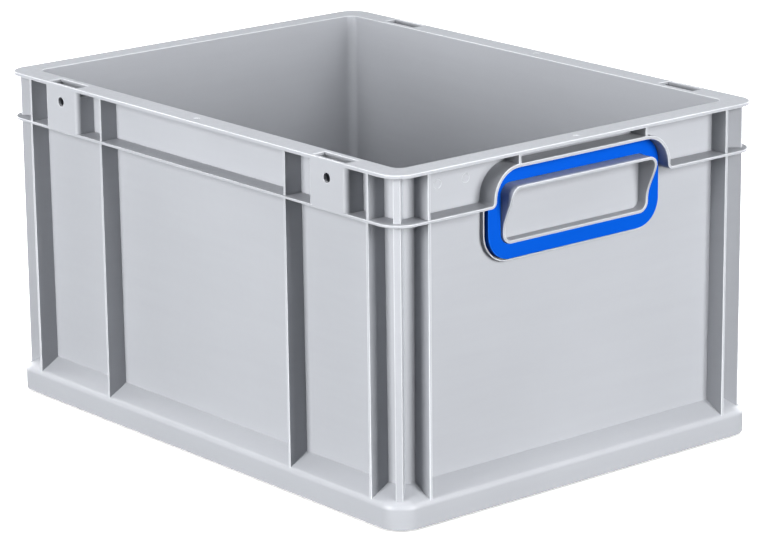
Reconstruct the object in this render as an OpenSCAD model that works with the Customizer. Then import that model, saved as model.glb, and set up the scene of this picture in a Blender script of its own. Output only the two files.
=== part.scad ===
// Stacking crate with clip-in grip inserts, in millimetres.
// The origin is the middle of the footprint on the ground: X runs along the length,
// Y across the width, Z is up. The grips are on the two short sides.

/* [Crate] */
// Outer length over the rim
length = 400; // [320:1:600]
// Outer width over the rim
width = 300; // [240:1:400]
// Overall height
height = 220; // [170:1:320]
// Thickness of the moulded walls
wall_t = 2.5; // [2:0.1:3]
// Distance from the rim's outer edge in to the wall, at the top
wall_inset = 13.3; // [12:0.1:16]
// How much further in the wall stands at its foot
draft = 1.3; // [0.5:0.1:3]
// Corner radius of the wall's outer face at the top
wall_r = 8.5; // [7:0.5:14]

/* [Rim and ring] */
// Corner radius of the rim
rim_r = 14; // [12:1:18]
// Thickness of the rim
rim_t = 2.3; // [2:0.1:3]
// Corner radius of the ring and of the skirt
ring_r = 16; // [16:1:22]
// Thickness of the ring below the rim
ring_t = 1.8; // [1.5:0.1:2.5]
// Distance from the top down to the ring's upper face
ring_drop = 30.2; // [28:0.1:36]

/* [Foot] */
// Height at which the skirt's upright face and its ledge would meet
skirt_h = 16.5; // [12:0.5:22]
// Height at which the skirt's sloping ledge meets the wall
ledge_h = 25; // [23:0.5:30]
// Radius of the bend between that face and the ledge
skirt_bend_r = 5; // [2:0.5:6]
// How far the locating foot stands below the skirt
foot_h = 1.5; // [1:0.1:3]
// Height of the floor's upper face
floor_h = 7; // [6:0.5:9]
// Depth of the stiffening ribs under the floor
floor_rib_h = 3.5; // [2:0.5:4]

/* [Ribs] */
// Thickness of the upright ribs
rib_t = 2; // [1.5:0.1:3]
// Distance from the ring's outline in to the front of a rib
rib_inset = 1; // [0.7:0.1:1.3]
// Distance from the centre to the outer ribs on a long side
long_rib_outer = 173; // [165:0.5:176]
// Distance from the centre to the inner ribs on a long side
long_rib_inner = 95; // [90:0.5:105]
// Distance from the centre to the ribs on a short side
short_rib = 123; // [110:0.5:128]
// Width of the post at each corner
post_w = 4.5; // [3.5:0.5:8]
// Distance from the ring's outline in to that post
post_inset = 3.5; // [1:0.1:5]

/* [Hinge pockets] */
// Distance from the centre to each pocket, along a long side
pocket_x = 137; // [130:0.5:140]
// Width of a pocket over its side walls
pocket_w = 36; // [30:0.5:40]
// Thickness of the pocket's front plate
pocket_t = 2.4; // [2:0.1:3]
// Height of the window at the top of a pocket's inner side wall
window_h = 3.7; // [2:0.1:6]
// Radius of the pin hole in the front plate
pin_r = 3; // [2:0.1:4]
// Distance from the top down to the pin hole
pin_drop = 11.5; // [9:0.5:16]
// Length of the slot through the rim above a pocket
slot_l = 31; // [24:0.5:32]
// Depth of that slot, across the rim
slot_w = 9; // [8:0.5:10]

/* [Grips] */
// Half the width over the arch above a grip
arch_half = 73; // [65:0.5:80]
// Distance from the top down to the arch's upper face
arch_drop = 7.6; // [6:0.1:10]
// Outer corner radius of the arch
arch_r = 20; // [16:0.5:24]
// Thickness of the arch
arch_t = 2.2; // [1.8:0.1:3]
// Distance from the centre to the webs that join the arch to the rim
web_y = 52.3; // [40:0.1:52.8]
// Distance from the top down to the bottom of the insert
insert_drop = 68; // [60:0.5:75]
// Height of the insert's front face above the wall
insert_h = 5; // [4.5:0.1:7]
// Half the width of the finger pocket's tube
tube_half = 60.3; // [50:0.1:61]
// Distance from the top down to the tube's upper face
tube_top_drop = 20.5; // [19:0.1:24]
// Distance from the top down to the tube's lower face
tube_low_drop = 58; // [52:0.1:59]
// Corner radius of the tube
tube_r = 7; // [5:0.5:9]
// Thickness of the tube's wall
tube_t = 2; // [1.6:0.1:2.5]
// How far the tube's upper lip stands beyond the rim
lip_reach = 2; // [0:0.1:4]

/* [Hidden] */
$fn = 96;

grey = [0.78, 0.79, 0.81];
blue = [0.02, 0.32, 0.88];

over = 1;          // overshoot of every cut
gap = 0.2;         // assembly gap around an insert
half_l = length / 2;
half_w = width / 2;
rim_z = height - rim_t;
ring_z = height - ring_drop - ring_t;
floor_t = 2.5;
floor_rib_pitch_x = 70;
floor_rib_pitch_y = 60;
skirt_t = 2.5;
ledge_t = 2.3;

function inset_at(z) = wall_inset + draft * (height - z) / height;

// The bend at the top of the skirt, in steps from the upright face to the ledge
bend_steps = 4;
ledge_angle = atan2(inset_at(ledge_h), ledge_h - skirt_h);
skirt_low_z = skirt_h - skirt_bend_r * tan(ledge_angle / 2);
function bend_z(i) = skirt_low_z + skirt_bend_r * sin(ledge_angle * i / bend_steps);
function bend_inset(i) = skirt_bend_r * (1 - cos(ledge_angle * i / bend_steps));

// The tube's lower lip, and the heights between which its front edge sweeps out
insert_x = half_l - wall_inset + insert_h;
low_lip_reach = 1.7;
lip_low_x = insert_x + low_lip_reach;
lip_high_x = half_l + lip_reach;
sweep_low_drop = 50;
sweep_high_drop = 22;
sweep_low = height - sweep_low_drop;
sweep_high = height - sweep_high_drop;
sweep_steps = 16;

arch_top = height - arch_drop;
arch_in_half = arch_half - arch_t;
insert_low = height - insert_drop;
insert_top = arch_top - arch_t;
insert_wall = 1.6;
insert_face = 2;
insert_r = arch_r - arch_t;
seat_gap = 0.8;
seat_t = 1;
seat_h = 2.5;
bend_r = 2;
pocket_edge_r = 3.5;
slot_back = 0.2;   // from a pocket's front plate to the slot behind it
tube_top = height - tube_top_drop;
tube_low = height - tube_low_drop;

// Snap catches on the tube, and the windows for them in the insert
catch_y = 35;
catch_l = 12;
catch_h = 0.8;
catch_t = 1;
catch_rise = 1.6;
catch_x = half_l - wall_inset + catch_rise;

// ---------------------------------------------------------------- shared shapes

// A rectangle with round corners, centred
module round_rect(l, w, r) {
    square([l - 2 * r, w], center = true);
    square([l, w - 2 * r], center = true);
    for (x = [-1, 1], y = [-1, 1])
        translate([x * (l / 2 - r), y * (w / 2 - r)]) circle(r);
}

// A plate of the crate's plan, its outline moved in by inset
module plan_plate(z0, z1, inset, r) {
    translate([0, 0, z0])
        linear_extrude(z1 - z0) round_rect(length - 2 * inset, width - 2 * inset, r);
}

// A block whose four sides lean in from inset0 at z0 to inset1 at z1.
// r0 is its corner radius at z0.
module drafted_block(z0, z1, inset0, inset1, r0) {
    cx = half_l - inset0 - r0;
    cy = half_w - inset0 - r0;
    lean = inset1 - inset0;
    rotate([90, 0, 0])
        linear_extrude(2 * cy, center = true)
            drafted_side(z0, z1, half_l - inset0, lean);
    rotate([90, 0, 90])
        linear_extrude(2 * cx, center = true)
            drafted_side(z0, z1, half_w - inset0, lean);
    for (x = [-1, 1], y = [-1, 1])
        translate([x * cx, y * cy, z0]) cylinder(h = z1 - z0, r1 = r0, r2 = r0 - lean);
}

module drafted_side(z0, z1, half, lean) {
    polygon([[-half, z0], [half, z0], [half - lean, z1], [-half + lean, z1]]);
}

// One copy on each short side, and one on each long side
module both_ends() {
    for (side = [0, 1]) mirror([side, 0, 0]) children();
}

module both_sides() {
    for (side = [0, 1]) mirror([0, side, 0]) children();
}

// ---------------------------------------------------------------- crate body

// The wall's outer face, solid from the ground up to z1
module tub_outside(z1) {
    drafted_block(0, z1, inset_at(0), inset_at(z1), wall_r - (inset_at(0) - wall_inset));
}

// The room inside the walls
module tub_inside() {
    z1 = height + over;
    drafted_block(floor_h, z1, inset_at(floor_h) + wall_t, inset_at(z1) + wall_t,
        wall_r - wall_t - (inset_at(floor_h) - wall_inset));
}

// The hollow under the floor, which leaves the foot standing around it
module under_floor() {
    z1 = floor_h - floor_t;
    inset = inset_at(0) + wall_t;
    difference() {
        plan_plate(-over, z1, inset, wall_r - wall_t - draft);
        for (i = [-2 : 2])
            translate([i * floor_rib_pitch_x - rib_t / 2, -half_w, z1 - floor_rib_h])
                cube([rib_t, width, height]);
        for (i = [-1.5 : 1.5])
            translate([-half_l, i * floor_rib_pitch_y - rib_t / 2, z1 - floor_rib_h])
                cube([length, rib_t, height]);
    }
}

// The skirt's section, measured out from the centre of a corner's rounding
module skirt_section() {
    inner = ring_r - inset_at(ledge_h);
    polygon(concat(
        [[ring_r - skirt_t, foot_h], [ring_r, foot_h]],
        [for (i = [0 : bend_steps]) [ring_r - bend_inset(i), bend_z(i)]],
        [[inner, ledge_h], [inner, ledge_h - ledge_t], [ring_r - skirt_t, skirt_low_z - ledge_t / 2]]));
}

// The skirt around the foot. Its upright face bends over into a sloping ledge.
module skirt() {
    both_ends() both_sides()
        translate([half_l - ring_r, half_w - ring_r, 0]) rotate_extrude(angle = 90) skirt_section();
    both_sides()
        translate([0, half_w - ring_r, 0]) rotate([90, 0, 90])
            linear_extrude(length - 2 * ring_r, center = true) skirt_section();
    both_ends()
        translate([half_l - ring_r, 0, 0]) rotate([90, 0, 0])
            linear_extrude(width - 2 * ring_r, center = true) skirt_section();
    plan_plate(ledge_h - ledge_t, ledge_h, inset_at(ledge_h), ring_r - inset_at(ledge_h));
}

// One upright rib on a long side, from the rim down into the skirt
module long_rib(x) {
    translate([x - rib_t / 2, -half_w, 0])
        rib_profile(inset_at(0));
}

// One upright rib on a short side
module short_rib(y) {
    translate([half_l, y - rib_t / 2, 0]) rotate([0, 0, 90])
        rib_profile(inset_at(0));
}

module rib_profile(depth) {
    inner = depth + wall_t / 2;
    translate([0, rib_inset, foot_h + 1])
        cube([rib_t, inner - rib_inset, rim_z - foot_h]);
}

// The post that stands out diagonally at a corner
module corner_post() {
    reach = 3 * wall_inset;
    intersection() {
        plan_plate(skirt_low_z - ledge_t, height - rim_t / 2, post_inset, ring_r - post_inset);
        translate([half_l, -half_w, 0]) rotate([0, 0, 45])
            translate([-post_w / 2, 0, 0]) cube([post_w, reach, height]);
    }
}

// A hinge pocket on the front long side: a front plate and two side walls
module hinge_pocket() {
    depth = wall_inset + wall_t / 2;
    bend_x = pocket_w / 2 - pocket_edge_r;
    translate([pocket_x, -half_w, ring_z + ring_t / 2])
        linear_extrude(ring_drop - ring_t / 2)
            difference() {
                union() {
                    translate([-bend_x, 0]) square([2 * bend_x, depth]);
                    translate([-pocket_w / 2, pocket_edge_r]) square([pocket_w, depth - pocket_edge_r]);
                    for (x = [-bend_x, bend_x]) translate([x, pocket_edge_r]) circle(pocket_edge_r);
                }
                translate([-pocket_w / 2 + rib_t, pocket_t])
                    square([pocket_w - 2 * rib_t, depth]);
            }
}

module hinge_pocket_cuts() {
    translate([pocket_x, -half_w - over, height - pin_drop]) rotate([-90, 0, 0])
        cylinder(h = pocket_t + 2 * over, r = pin_r);
    translate([pocket_x - slot_l / 2, -half_w + pocket_t + slot_back, rim_z - over])
        cube([slot_l, slot_w, rim_t + 2 * over]);
    translate([pocket_x - pocket_w / 2 - over, -half_w + pocket_edge_r, rim_z - window_h])
        cube([rib_t + 2 * over, wall_inset - pocket_edge_r, window_h]);
}

// The part above the ring of a frame with round upper corners
module arch_outline(half, top, r) {
    rise = top - ring_z;
    intersection() {
        translate([0, ring_z]) round_rect(2 * half, 2 * rise, r);
        translate([-half, ring_z]) square([2 * half, rise]);
    }
}

// Lays a drawing out on the right short side: its X runs along +Y and its Y is up
module on_end(x0, x1) {
    translate([x0, 0, 0]) rotate([90, 0, 90]) linear_extrude(x1 - x0) children();
}

// The rib that rises from the ring and arches over a grip, with its two webs
module grip_arch() {
    x0 = half_l - wall_inset - wall_t / 2;
    on_end(x0, half_l) {
        difference() {
            arch_outline(arch_half, arch_top, arch_r);
            arch_outline(arch_in_half, arch_top - arch_t, insert_r);
        }
        for (side = [0, 1]) mirror([side, 0]) bend_fillet();
    }
    for (y = [-1, 1])
        translate([x0, y * web_y - rib_t / 2, arch_top - arch_t / 2])
            cube([half_l - x0, rib_t, arch_drop - rim_t / 2]);
}

// The inside of the bend where the ring turns up into a leg of the arch
module bend_fillet() {
    top = ring_z + ring_t;
    translate([arch_half, top])
        difference() {
            translate([-arch_t / 2, -ring_t / 2]) square([bend_r + arch_t / 2, bend_r + ring_t / 2]);
            translate([bend_r, bend_r]) circle(bend_r);
        }
}

// The outside of that bend, to be cut away
module bend_cuts() {
    r = bend_r + arch_t;
    for (side = [0, 1]) mirror([0, side, 0])
        on_end(half_l - wall_inset + seat_h, half_l + over)
            difference() {
                translate([arch_in_half - over, ring_z - over]) square(r + over);
                translate([arch_in_half + r, ring_z + r]) circle(r);
            }
}

// The outline of an insert, grown by extra
module insert_outline(extra) {
    h = insert_top - insert_low + 2 * extra;
    translate([0, (insert_top + insert_low) / 2])
        round_rect(2 * (arch_in_half + extra), h, insert_r + extra);
}

// The low lip on the wall that the insert sits in
module insert_seat() {
    on_end(half_l - inset_at(insert_low) - wall_t / 2, half_l - wall_inset + seat_h)
        difference() {
            insert_outline(seat_gap + seat_t);
            insert_outline(seat_gap);
            translate([-length, ring_z + ring_t / 2]) square([2 * length, height]);
        }
}

module tube_outline(extra) {
    translate([0, (tube_top + tube_low) / 2])
        round_rect(2 * (tube_half + extra), tube_top - tube_low + 2 * extra, tube_r + extra);
}

// The finger pocket's tube. Its front edge sweeps out from the lower lip to the upper one.
module grip_tube() {
    x0 = half_l - inset_at(tube_low) - wall_t / 2;
    intersection() {
        on_end(x0, lip_high_x + over)
            difference() {
                tube_outline(0);
                tube_outline(-tube_t);
            }
        rotate([90, 0, 0]) linear_extrude(width, center = true)
            polygon(concat(
                [[x0, tube_low - over], [lip_low_x, tube_low - over]],
                [for (i = [0 : sweep_steps]) let (t = i / sweep_steps)
                    [lip_low_x + (lip_high_x - lip_low_x) * (1 - cos(180 * t)) / 2,
                     sweep_low + (sweep_high - sweep_low) * t]],
                [[lip_high_x, tube_top + over], [x0, tube_top + over]]));
    }
}

module tube_catches() {
    for (y = [-1, 1], z = [tube_top - catch_h / 2, tube_low - catch_h / 2])
        translate([catch_x, y * catch_y - catch_l / 2, z]) cube([catch_t, catch_l, catch_h]);
}

// The ring stops at the arch's legs, where the insert sits
module ring_gap() {
    depth = wall_inset + wall_t / 2;
    translate([half_l - depth, -arch_in_half, ring_z - over])
        cube([depth + over, 2 * arch_in_half, ring_t + 2 * over]);
}

// Gate marks in the middle of each side of the rim
module gate_marks() {
    mark_r = 1.6;
    mark_inset = 7.5;
    mark_depth = 0.4;
    for (p = [[half_l - mark_inset, 0], [mark_inset - half_l, 0],
              [0, half_w - mark_inset], [0, mark_inset - half_w]])
        translate([p[0], p[1], height - mark_depth]) cylinder(h = over, r = mark_r);
}

// Ejector marks on the wall on one side of a grip, above the ring
module ejector_marks() {
    mark_r = 2.6;
    mark_depth = 0.15;
    mark_z = height - 13.5;
    first_y = -106;
    last_y = -84;
    for (y = [first_y, last_y])
        translate([half_l - inset_at(mark_z) - mark_depth, y, mark_z]) rotate([0, 90, 0])
            cylinder(h = over, r = mark_r);
}

module crate_body() color(grey) {
    difference() {
        union() {
            tub_outside(height);
            plan_plate(rim_z, height, 0, rim_r);
            difference() {
                plan_plate(ring_z, ring_z + ring_t, 0, ring_r);
                both_ends() ring_gap();
            }
            skirt();
            both_sides() for (x = [-long_rib_outer, -long_rib_inner, long_rib_inner, long_rib_outer])
                long_rib(x);
            both_ends() {
                for (y = [-short_rib, short_rib]) short_rib(y);
                both_sides() {
                    corner_post();
                    hinge_pocket();
                }
                grip_arch();
                insert_seat();
                grip_tube();
                tube_catches();
            }
        }
        tub_inside();
        under_floor();
        gate_marks();
        both_ends() {
            both_sides() hinge_pocket_cuts();
            bend_cuts();
        }
        for (turn = [0, 180]) rotate(turn) ejector_marks();
    }
}

// ---------------------------------------------------------------- grip inserts

// A clip-in ring: a front plate, a wall around its edge and one around the tube
module grip_insert() color(blue) {
    back = half_l - wall_inset + gap;
    difference() {
        on_end(back, insert_x)
            difference() {
                insert_outline(-gap);
                tube_outline(gap);
            }
        on_end(back - over, insert_x - insert_face)
            difference() {
                insert_outline(-gap - insert_wall);
                tube_outline(gap + insert_wall);
            }
        for (y = [-1, 1], z = [tube_top, tube_low - insert_wall - 2 * gap])
            translate([catch_x - gap, y * catch_y - catch_l / 2 - gap, z - gap])
                cube([catch_t + 2 * gap, catch_l + 2 * gap, insert_wall + 4 * gap]);
    }
}

module grip_insert_right() grip_insert();
module grip_insert_left() mirror([1, 0, 0]) grip_insert();

crate_body();
grip_insert_right();
grip_insert_left();
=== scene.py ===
import math

import bmesh
import bpy
from mathutils import Matrix, Vector
from mathutils.bvhtree import BVHTree


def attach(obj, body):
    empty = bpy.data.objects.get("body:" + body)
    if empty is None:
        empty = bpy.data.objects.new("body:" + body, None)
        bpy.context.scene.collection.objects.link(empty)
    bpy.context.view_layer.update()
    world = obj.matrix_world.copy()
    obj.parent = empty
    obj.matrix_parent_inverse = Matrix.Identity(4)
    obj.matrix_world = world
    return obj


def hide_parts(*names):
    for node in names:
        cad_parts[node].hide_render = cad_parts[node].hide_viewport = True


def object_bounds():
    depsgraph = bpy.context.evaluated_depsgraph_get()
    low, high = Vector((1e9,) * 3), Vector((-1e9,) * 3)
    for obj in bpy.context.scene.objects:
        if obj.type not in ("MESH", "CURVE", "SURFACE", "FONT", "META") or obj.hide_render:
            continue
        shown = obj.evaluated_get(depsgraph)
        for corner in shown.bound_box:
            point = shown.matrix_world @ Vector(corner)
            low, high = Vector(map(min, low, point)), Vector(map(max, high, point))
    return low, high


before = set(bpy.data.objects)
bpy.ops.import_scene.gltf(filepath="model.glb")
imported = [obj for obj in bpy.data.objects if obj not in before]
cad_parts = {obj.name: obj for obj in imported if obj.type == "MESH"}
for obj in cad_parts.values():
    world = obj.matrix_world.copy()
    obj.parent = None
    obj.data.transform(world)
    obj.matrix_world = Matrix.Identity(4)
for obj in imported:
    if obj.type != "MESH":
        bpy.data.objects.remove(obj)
cad_low, cad_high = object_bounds()
centre = (cad_low + cad_high) / 2
scene = bpy.context.scene

MM = 0.001

# Rounding of the moulded edges
SHELL_ROUNDING = 0.45 * MM
GRIP_ROUNDING = 0.5 * MM
SHARPER_THAN = 28          # degrees: an edge that bends more than this is rounded
STILL_SHARP = 50           # degrees: one that bends more than this after rounding is shaded as a corner
FLAT_WITHIN = 0.3          # degrees: neighbouring faces that bend less than this become one
SCUFF_AND_HIGHLIGHT_DEPTH = 0.015 * MM    # how far an edge is rounded off before it takes the lighter edge finish: scuffing plus a painted highlight
ROUNDS = 7    # how often the rounding is tried, narrower each time where it folded over

# The white set
REACH = 8.0
BACKDROP_HIGH = 6.0
FLOOR_GLOW = 0.3
BACKDROP_GLOW = 1.3

# Light
BOX_AWAY = 1.8
BOX_WIDE = 0.95
BOX_HIGH = 1.35
TOP_LIGHT_POWER = 2.9
TOP_LIGHT_SPREAD = 35      # degrees
TOP_LIGHT_ELEVATION = 78
SKY = (0.8, 0.93, 1.05, 1)
SKY_STRENGTH = 0.06

# Camera
CAMERA_AZIMUTH = 50.23
CAMERA_ELEVATION = 15.63
CAMERA_ROLL = -0.62
CAMERA_AWAY = 2.299
LENS_PER_SENSOR = 4.5888   # focal length in sensor widths
AIM = centre + Vector((8.1, 0, -16.1)) * MM


# ---------------------------------------------------------------- moulded edges

def welded(source):
    """The CAD node's mesh as a bmesh, one vertex per corner, flat faces cut only into triangles and quads."""
    bm = bmesh.new()
    bm.from_mesh(source)
    bmesh.ops.remove_doubles(bm, verts=bm.verts, dist=0.001 * MM)
    bmesh.ops.dissolve_limit(bm, angle_limit=0.002, verts=bm.verts, edges=bm.edges)
    many = [f for f in bm.faces if len(f.verts) > 4]
    bmesh.ops.triangulate(bm, faces=many, quad_method="BEAUTY", ngon_method="BEAUTY")
    return bm


def search_tree(bm):
    """The surface of a bmesh, for finding the nearest point on it."""
    solid = bm.copy()
    bmesh.ops.triangulate(solid, faces=solid.faces)
    tree = BVHTree.FromBMesh(solid)
    solid.free()
    return tree


def bend(edge):
    """By how many degrees the surface bends at an edge."""
    return math.degrees(edge.calc_face_angle()) if len(edge.link_faces) == 2 else 0.0


def outer_edges(bm, mesh):
    """The ends of each sharp outer edge, by its number. The sharp inner edges are marked in mesh."""
    ends = {}
    for e in bm.edges:
        if bend(e) < SHARPER_THAN:
            continue
        if e.is_convex:
            ends[e.index] = [v.co.copy() for v in e.verts]
        else:
            mesh.edges[e.index].use_edge_sharp = True
    return ends


def folded_places(mesh, surface, limit):
    """Where a rounded mesh folds over itself or leaves the CAD surface by more than limit."""
    smallest_face = 0.002 * MM * MM
    touching = 0.002 * MM
    turned_over = 0.3
    bm = bmesh.new()
    bm.from_mesh(mesh)
    bmesh.ops.triangulate(bm, faces=bm.faces)
    found = []
    for f in bm.faces:
        if f.calc_area() < smallest_face:
            continue
        middle = f.calc_center_median()
        _, normal, _, away = surface.find_nearest(middle)
        if away > limit or (away < touching and normal.dot(f.normal) < turned_over):
            found.append(middle)
    bm.free()
    return found


def distance(point, a, b):
    """How far a point is from the straight line between a and b."""
    along = b - a
    t = (point - a).dot(along) / max(along.length_squared, MM ** 4)
    return (a + along * max(0.0, min(1.0, t)) - point).length


def fit_rounding(piece, ends, surface, width):
    """Rounds every edge in ends fully, then tries again with less where the mesh folds over."""
    furthest = 1.6 * width
    near = 2.2 * width
    layer = piece.data.attributes.new("bevel_weight_edge", "FLOAT", "EDGE")
    share = dict.fromkeys(ends, 0.5)
    for turn in range(ROUNDS):
        for i, value in share.items():
            layer.data[i].value = value
        piece.data.update()
        shown = piece.evaluated_get(bpy.context.evaluated_depsgraph_get())
        folds = folded_places(shown.to_mesh(), surface, furthest)
        shown.to_mesh_clear()
        if not folds:
            break
        less = 0.6 if turn < ROUNDS - 2 else 0.25
        for i, (a, b) in ends.items():
            if any(distance(p, a, b) < near for p in folds):
                share[i] *= less


def rounded_mesh(piece, name, surface):
    """The piece's mesh with its modifiers applied. Shallow rounding goes back to the plain finish, without
    the lighter edge finish of scuffing and painted highlight.
    """
    mesh = bpy.data.meshes.new_from_object(piece.evaluated_get(bpy.context.evaluated_depsgraph_get()))
    mesh.name = name
    for face in mesh.polygons:
        near, normal, _, _ = surface.find_nearest(face.center)
        if (near - face.center).dot(normal) < SCUFF_AND_HIGHLIGHT_DEPTH:
            face.material_index = 0
    bm = bmesh.new()
    bm.from_mesh(mesh)
    for f in bm.faces:
        f.smooth = True
    for e in bm.edges:
        if bend(e) > STILL_SHARP:
            e.smooth = False
    bm.to_mesh(mesh)
    bm.free()
    return mesh


def round_edges(node_name, name, width, finish, worn_and_highlit):
    """A new piece: the CAD node with every sharp outer edge rounded, less where there is no room.

    The rounding takes the second finish passed in, which is lighter than the first: scuffing from use
    together with a painted highlight along the edge.
    """
    bm = welded(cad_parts[node_name].data)
    surface = search_tree(bm)
    mesh = bpy.data.meshes.new(name + "_sharp")
    bm.to_mesh(mesh)
    mesh.materials.clear()
    mesh.materials.append(finish)
    mesh.materials.append(worn_and_highlit)
    piece = bpy.data.objects.new(name, mesh)
    scene.collection.objects.link(piece)
    ends = outer_edges(bm, mesh)
    bm.free()

    bevel = piece.modifiers.new("moulded_edges", "BEVEL")
    bevel.limit_method = "WEIGHT"
    bevel.width = 2 * width
    bevel.segments = 2
    bevel.use_clamp_overlap = False
    bevel.loop_slide = False
    bevel.harden_normals = False
    fit_rounding(piece, ends, surface, width)
    # the rounded faces take the second slot: a lighter finish for scuffing that also paints a highlight along
    # each edge
    bevel.material = 1
    joined = piece.modifiers.new("flat_faces_joined", "DECIMATE")
    joined.decimate_type = "DISSOLVE"
    joined.angle_limit = math.radians(FLAT_WITHIN)
    joined.delimit = {"SHARP"}
    piece.data = rounded_mesh(piece, name, surface)

    piece.modifiers.clear()
    shade = piece.modifiers.new("flat_faces_stay_flat", "WEIGHTED_NORMAL")
    shade.weight = 100
    shade.thresh = 0.01
    shade.keep_sharp = True
    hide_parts(node_name)
    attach(piece, "root")
    return piece


# ---------------------------------------------------------------- materials

def new_material(name):
    mat = bpy.data.materials.new(name)
    mat.use_nodes = True
    tree = mat.node_tree
    return mat, tree, tree.nodes["Principled BSDF"]


def node(tree, kind, **values):
    """A new shader node with some of its properties and inputs set. A _ in a name is a space."""
    made = tree.nodes.new(kind)
    for key, value in values.items():
        if key in made.bl_rna.properties:
            setattr(made, key, value)
        else:
            made.inputs[key.replace("_", " ")].default_value = value
    return made


def cloudy_colour(tree, place, colour, light, dark):
    """A colour that drifts between light and dark, in clouds and in flat flow streaks."""
    link = tree.links.new
    clouds = node(tree, "ShaderNodeTexNoise", Scale=9.0, Detail=3.0, Roughness=0.5)
    link(place, clouds.inputs["Vector"])
    stretch = node(tree, "ShaderNodeMapping", Scale=(14.0, 14.0, 150.0))
    link(place, stretch.inputs["Vector"])
    streaks = node(tree, "ShaderNodeTexNoise", Scale=1.0, Detail=4.0, Roughness=0.6)
    link(stretch.outputs["Vector"], streaks.inputs["Vector"])
    mixed = node(tree, "ShaderNodeMix", data_type="FLOAT", Factor=0.35)
    link(clouds.outputs["Fac"], mixed.inputs["A"])
    link(streaks.outputs["Fac"], mixed.inputs["B"])
    tone = node(tree, "ShaderNodeValToRGB")
    tone.color_ramp.elements[0].position = 0.3
    tone.color_ramp.elements[0].color = dark
    tone.color_ramp.elements[1].position = 0.7
    tone.color_ramp.elements[1].color = light
    tone.color_ramp.elements.new(0.5).color = colour
    link(mixed.outputs["Result"], tone.inputs["Fac"])
    return tone.outputs["Color"]


def uneven_roughness(tree, place, rough):
    """A roughness a little below rough in some spots and a little above it in others."""
    spots = node(tree, "ShaderNodeTexNoise", Scale=260.0, Detail=3.0, Roughness=0.65)
    tree.links.new(place, spots.inputs["Vector"])
    spread = node(tree, "ShaderNodeMapRange",
                  From_Min=0.3, From_Max=0.7, To_Min=rough - 0.05, To_Max=rough + 0.07)
    tree.links.new(spots.outputs["Fac"], spread.inputs["Value"])
    return spread.outputs["Result"]


def moulded_surface(tree, place, grain):
    """The fine grain of the mould, on shallow waves where the plastic shrank."""
    link = tree.links.new
    fine = node(tree, "ShaderNodeTexNoise", Scale=1600.0, Detail=2.0, Roughness=0.6)
    link(place, fine.inputs["Vector"])
    waves = node(tree, "ShaderNodeTexNoise", Scale=22.0, Detail=1.0)
    link(place, waves.inputs["Vector"])
    grained = node(tree, "ShaderNodeBump", Strength=grain, Distance=0.12 * MM)
    link(fine.outputs["Fac"], grained.inputs["Height"])
    sunk = node(tree, "ShaderNodeBump", Strength=0.25, Distance=0.9 * MM)
    link(waves.outputs["Fac"], sunk.inputs["Height"])
    link(grained.outputs["Normal"], sunk.inputs["Normal"])
    return sunk.outputs["Normal"]


def moulded_plastic(name, red, green, blue, change, rough, grain, gloss):
    """Injection-moulded plastic. Its colour gets lighter and darker by the share called change."""
    mat, tree, shader = new_material(name)
    place = node(tree, "ShaderNodeTexCoord").outputs["Object"]
    shades = [(red * k, green * k, blue * k, 1) for k in (1, 1 + change, 1 - change)]
    tree.links.new(cloudy_colour(tree, place, *shades), shader.inputs["Base Color"])
    tree.links.new(uneven_roughness(tree, place, rough), shader.inputs["Roughness"])
    tree.links.new(moulded_surface(tree, place, grain), shader.inputs["Normal"])
    shader.inputs["Specular IOR Level"].default_value = gloss
    shader.inputs["IOR"].default_value = 1.49
    return mat


# ---------------------------------------------------------------- stage, light and camera

def stage_sheet(name, points, faces, glow):
    """A piece of the white set. It gives no light back to the crate."""
    mesh = bpy.data.meshes.new(name)
    mesh.from_pydata(points, [], faces)
    sheet = bpy.data.objects.new(name, mesh)
    scene.collection.objects.link(sheet)
    mat, _, shader = new_material(name + "_paper")
    shader.inputs["Base Color"].default_value = (0.93, 0.93, 0.93, 1)
    shader.inputs["Roughness"].default_value = 0.9
    shader.inputs["Specular IOR Level"].default_value = 0.1
    shader.inputs["Emission Color"].default_value = (1, 1, 1, 1)
    shader.inputs["Emission Strength"].default_value = glow
    mesh.materials.append(mat)
    sheet.visible_diffuse = False
    sheet.visible_glossy = False
    return sheet


def white_set():
    """A floor, and four walls far away that carry its white on above the horizon."""
    corners = [(-REACH, -REACH), (REACH, -REACH), (REACH, REACH), (-REACH, REACH)]
    low_ring = [(x, y, cad_low.z) for x, y in corners]
    high_ring = [(x, y, cad_low.z + BACKDROP_HIGH) for x, y in corners]
    around = [(i, (i + 1) % 4, 4 + (i + 1) % 4, 4 + i) for i in range(4)]
    stage_sheet("floor", low_ring, [(0, 1, 2, 3)], FLOOR_GLOW)
    backdrop = stage_sheet("backdrop", low_ring + high_ring, around, BACKDROP_GLOW)
    backdrop.visible_shadow = False


def direction(azimuth, elevation):
    """From the crate towards a place: azimuth 0 is in front of the long side and 90 faces the right grip."""
    a, e = math.radians(azimuth), math.radians(elevation)
    return Vector((math.sin(a) * math.cos(e), -math.cos(a) * math.cos(e), math.sin(e)))


def sky():
    world = bpy.data.worlds.new("studio")
    world.use_nodes = True
    background = world.node_tree.nodes["Background"]
    background.inputs["Color"].default_value = SKY
    background.inputs["Strength"].default_value = SKY_STRENGTH
    scene.world = world


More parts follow.
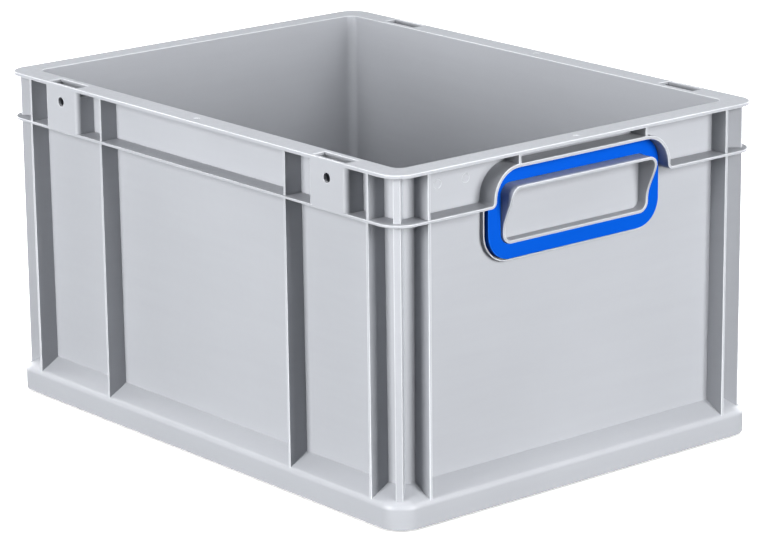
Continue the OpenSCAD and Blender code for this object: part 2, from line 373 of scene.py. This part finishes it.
def softbox(name, azimuth, elevation, power):
    """A soft light that faces the crate, unseen by the camera."""
    light = bpy.data.lights.new(name, "AREA")
    light.shape = "RECTANGLE"
    light.size, light.size_y, light.energy = BOX_WIDE, BOX_HIGH, power
    lamp = bpy.data.objects.new(name, light)
    away = direction(azimuth, elevation)
    lamp.location = centre + away * BOX_AWAY
    lamp.rotation_euler = (-away).to_track_quat("-Z", "Y").to_euler()
    lamp.visible_camera = False
    scene.collection.objects.link(lamp)


def top_light():
    light = bpy.data.lights.new("top_light", "SUN")
    light.energy, light.angle = TOP_LIGHT_POWER, math.radians(TOP_LIGHT_SPREAD)
    sun = bpy.data.objects.new("top_light", light)
    towards = -direction(CAMERA_AZIMUTH + 180, TOP_LIGHT_ELEVATION)
    sun.rotation_euler = towards.to_track_quat("-Z", "Y").to_euler()
    scene.collection.objects.link(sun)


def photo_camera():
    camera = bpy.data.cameras.new("camera")
    camera.lens = LENS_PER_SENSOR * camera.sensor_width
    camera.clip_start, camera.clip_end = 0.05, 60
    viewer = bpy.data.objects.new("camera", camera)
    back = direction(CAMERA_AZIMUTH, CAMERA_ELEVATION)
    viewer.location = AIM + back * CAMERA_AWAY
    turn = (-back).to_track_quat("-Z", "Y").to_matrix()
    roll = Matrix.Rotation(math.radians(CAMERA_ROLL), 3, "Z")
    viewer.rotation_euler = (turn @ roll).to_euler()
    scene.collection.objects.link(viewer)
    scene.camera = viewer


# ---------------------------------------------------------------- the crate

grey = moulded_plastic("grey_polypropylene", 0.312, 0.320, 0.340, 0.03, 0.42, 0.25, 0.4)
# The lighter edge finishes stand for scuffing and also paint a highlight along the rounded edges.
grey_scuffed_highlit = moulded_plastic("grey_polypropylene_scuffed_highlit", 0.42, 0.43, 0.45, 0.12, 0.5, 0.3, 0.4)
blue = moulded_plastic("blue_polypropylene", 0.0, 0.072, 0.39, 0.04, 0.5, 0.2, 0.06)
blue_scuffed_highlit = moulded_plastic("blue_polypropylene_scuffed_highlit", 0.01, 0.12, 0.52, 0.12, 0.55, 0.25, 0.1)

shell = round_edges("crate_body", "crate_shell", SHELL_ROUNDING, grey, grey_scuffed_highlit)
for side in ("right", "left"):
    ring = round_edges("grip_insert_" + side, "grip_ring_" + side, GRIP_ROUNDING, blue, blue_scuffed_highlit)

white_set()
sky()
softbox("left_box", 1, 12, 59)
softbox("right_box", 97, 11, 57)
softbox("back_box", 181, 12, 22)
softbox("far_box", 277, 12, 22)
top_light()
photo_camera()
scene.view_settings.view_transform = "Standard"
scene.view_settings.look = "Medium High Contrast"
